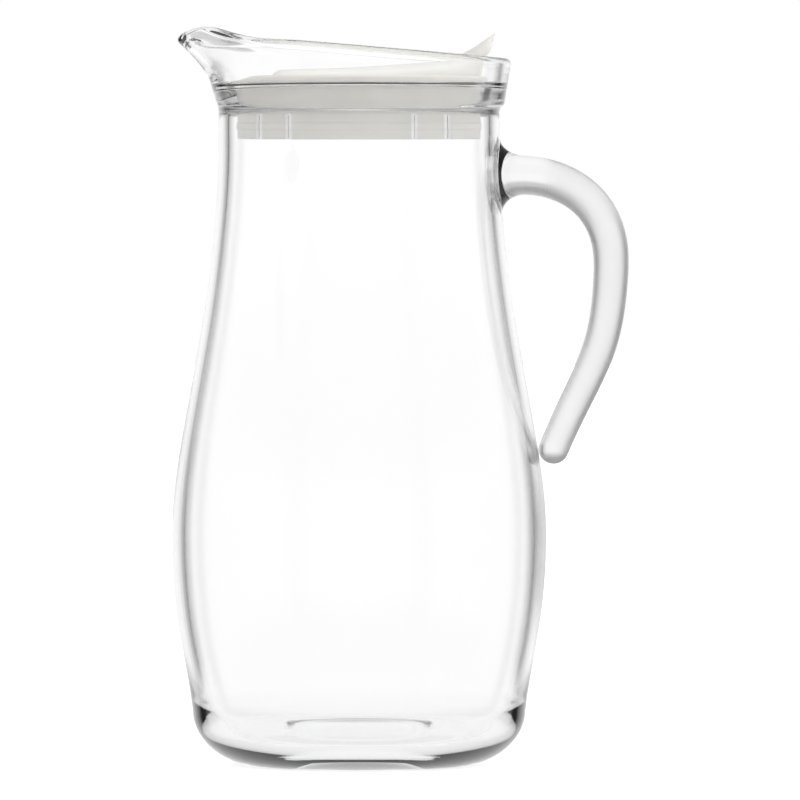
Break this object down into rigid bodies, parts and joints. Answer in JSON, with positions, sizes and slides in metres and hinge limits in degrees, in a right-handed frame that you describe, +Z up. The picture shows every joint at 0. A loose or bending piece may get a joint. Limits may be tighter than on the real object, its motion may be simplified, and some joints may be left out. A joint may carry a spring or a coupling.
{
  "type": "large water jug",
  "caption": "Tall pear-shaped clear glass water jug with a pulled spout, a fused solid glass handle and a white lift-off lid with a thumb tab.",
  "frame": {"origin": "centre of the foot ring's flat face, on the jug's axis, where the jug stands", "axes": "+Z up along the jug's axis, +X towards the handle, -X towards the spout"},
  "size_m": [0.1507, 0.1236, 0.2442],
  "materials": {
    "clear_glass": "clear fire-polished soda-lime glass",
    "white_plastic": "translucent warm white moulded polyethylene, satin"
  },
  "bodies": {
    "jug": {"jug_body": "clear_glass", "handle": "clear_glass"},
    "lid": {"lid": "white_plastic"}
  },
  "joints": [
    {"name": "lid_lift", "type": "slide", "parent": "jug", "child": "lid", "axis": [0, 0, 1], "range_m": [0, 0.05]}
  ]
}
